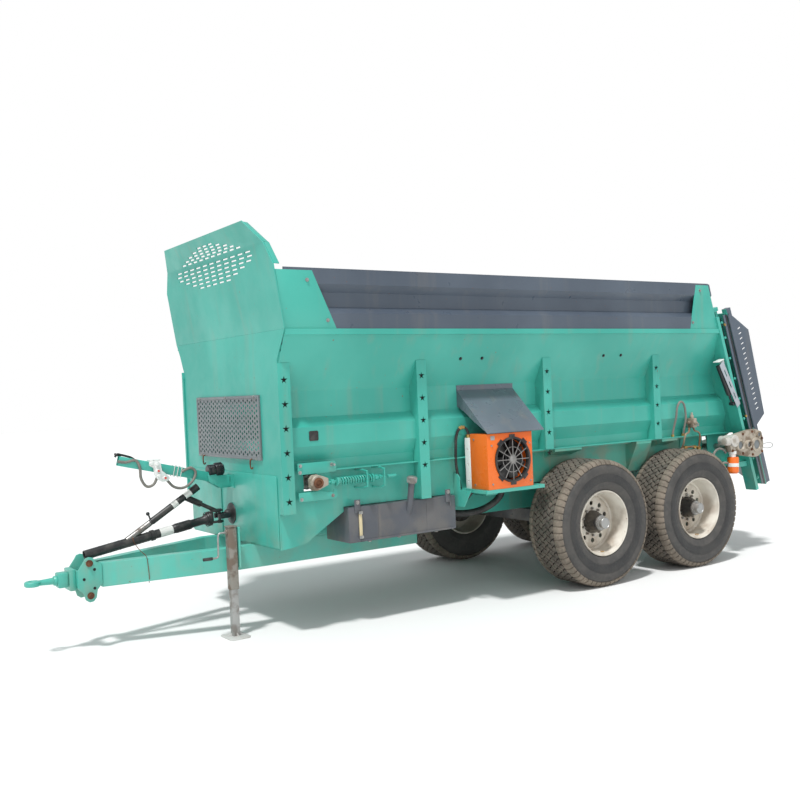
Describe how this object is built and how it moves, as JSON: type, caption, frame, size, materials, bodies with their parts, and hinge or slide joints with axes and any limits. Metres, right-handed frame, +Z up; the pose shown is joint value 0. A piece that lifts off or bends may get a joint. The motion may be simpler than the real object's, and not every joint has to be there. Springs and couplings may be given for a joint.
{
  "type": "manure spreader",
  "caption": "Towed tandem-axle farm manure spreader: long open hopper with floor conveyor, lifting rear gate, vertical beaters and drawbar.",
  "frame": {"origin": "centre of the overall box, on the ground", "axes": "+X towards the drawbar, +Y to the machine's left, +Z up"},
  "size_m": [7.6466, 2.522, 3.1595],
  "materials": {
    "teal_paint": "gloss turquoise paint",
    "bare_steel": "worn steel",
    "slate_paint": "dark slate paint",
    "black_paint": "black paint",
    "tyre_rubber": "matt",
    "grey_paint": "grey paint",
    "orange_paint": "orange paint",
    "rim_cream": "cream paint"
  },
  "bodies": {
    "machine": {"axle_front": "teal_paint", "axle_rear": "teal_paint", "bogie_spring_left": "bare_steel", "bogie_spring_right": "bare_steel", "chassis_rail_left": "teal_paint", "chassis_rail_right": "teal_paint", "conveyor_front_shaft": "bare_steel", "conveyor_rear_shaft": "bare_steel", "cooler_canopy": "slate_paint", "cooler_shelf": "teal_paint", "corner_post_left": "teal_paint", "corner_post_right": "teal_paint", "cross_member_front": "teal_paint", "cross_member_middle": "teal_paint", "cross_member_rear": "teal_paint", "drawbar_left": "teal_paint", "drawbar_right": "teal_paint", "driveline_shaft": "bare_steel", "extension_left": "slate_paint", "extension_right": "slate_paint", "floor_conveyor": "bare_steel", "front_hose": "tyre_rubber", "front_screen": "grey_paint", "front_shield": "teal_paint", "gear_beam": "teal_paint", "hitch_head": "teal_paint", "hopper_floor": "teal_paint", "hopper_front_wall": "teal_paint", "hopper_wall_left": "teal_paint", "hopper_wall_right": "teal_paint", "hose_arm": "teal_paint", "oil_cooler": "orange_paint", "oil_tank": "slate_paint", "post_left_1": "teal_paint", "post_left_2": "teal_paint", "post_left_3": "teal_paint", "post_right_1": "teal_paint", "post_right_2": "teal_paint", "post_right_3": "teal_paint", "pto_shaft": "black_paint", "rear_column_left": "teal_paint", "rear_column_right": "teal_paint", "rear_hose": "tyre_rubber", "top_beam": "teal_paint"},
    "wheel_front_left": {"tyre_front_left": "tyre_rubber", "rim_front_left": "rim_cream"},
    "wheel_front_right": {"tyre_front_right": "tyre_rubber", "rim_front_right": "rim_cream"},
    "wheel_rear_left": {"tyre_rear_left": "tyre_rubber", "rim_rear_left": "rim_cream"},
    "wheel_rear_right": {"tyre_rear_right": "tyre_rubber", "rim_rear_right": "rim_cream"},
    "beater_left": {"beater_left": "teal_paint"},
    "beater_right": {"beater_right": "teal_paint"},
    "side_flap_left": {"side_flap_left": "slate_paint"},
    "side_flap_right": {"side_flap_right": "slate_paint"},
    "rear_gate": {"rear_gate": "teal_paint"},
    "cooler_fan": {"cooler_fan": "black_paint"},
    "jack_tube": {"jack_tube": "grey_paint"},
    "jack_leg": {"jack_leg": "bare_steel"}
  },
  "joints": [
    {"name": "wheel_front_left_turn", "type": "hinge", "parent": "machine", "child": "wheel_front_left", "pos_m": [-0.86373, 1.035, 0.575], "axis": [0, 1, 0], "continuous": true},
    {"name": "wheel_front_right_turn", "type": "hinge", "parent": "machine", "child": "wheel_front_right", "pos_m": [-0.86373, -1.035, 0.575], "axis": [0, 1, 0], "continuous": true},
    {"name": "wheel_rear_left_turn", "type": "hinge", "parent": "machine", "child": "wheel_rear_left", "pos_m": [-2.15973, 1.035, 0.575], "axis": [0, 1, 0], "continuous": true},
    {"name": "wheel_rear_right_turn", "type": "hinge", "parent": "machine", "child": "wheel_rear_right", "pos_m": [-2.15973, -1.035, 0.575], "axis": [0, 1, 0], "continuous": true},
    {"name": "beater_left_turn", "type": "hinge", "parent": "machine", "child": "beater_left", "pos_m": [-3.29267, 0.385, 1.7001], "axis": [0.2924, 0, 0.9563], "continuous": true},
    {"name": "beater_right_turn", "type": "hinge", "parent": "machine", "child": "beater_right", "pos_m": [-3.29267, -0.385, 1.7001], "axis": [0.2924, 0, 0.9563], "continuous": true},
    {"name": "side_flap_left_hinge", "type": "hinge", "parent": "machine", "child": "side_flap_left", "pos_m": [-3.06206, 1.1023, 1.83873], "axis": [-0.2924, 0, -0.9563], "range_deg": [0, 75]},
    {"name": "side_flap_right_hinge", "type": "hinge", "parent": "machine", "child": "side_flap_right", "pos_m": [-3.06206, -1.1023, 1.83873], "axis": [0.2924, 0, 0.9563], "range_deg": [0, 75]},
    {"name": "rear_gate_lift", "type": "slide", "parent": "machine", "child": "rear_gate", "axis": [0.2924, 0, 0.9563], "range_m": [0, 0.75]},
    {"name": "cooler_fan_turn", "type": "hinge", "parent": "machine", "child": "cooler_fan", "pos_m": [0.18827, 1.208, 1.232], "axis": [0, 1, 0], "continuous": true},
    {"name": "jack_swivel", "type": "hinge", "parent": "machine", "child": "jack_tube", "pos_m": [2.40827, 0.49, 0.8], "axis": [1, 0, 0], "range_deg": [0, 90]},
    {"name": "jack_leg_slide", "type": "slide", "parent": "jack_tube", "child": "jack_leg", "axis": [0, 0, 1], "range_m": [0, 0.33]}
  ]
}
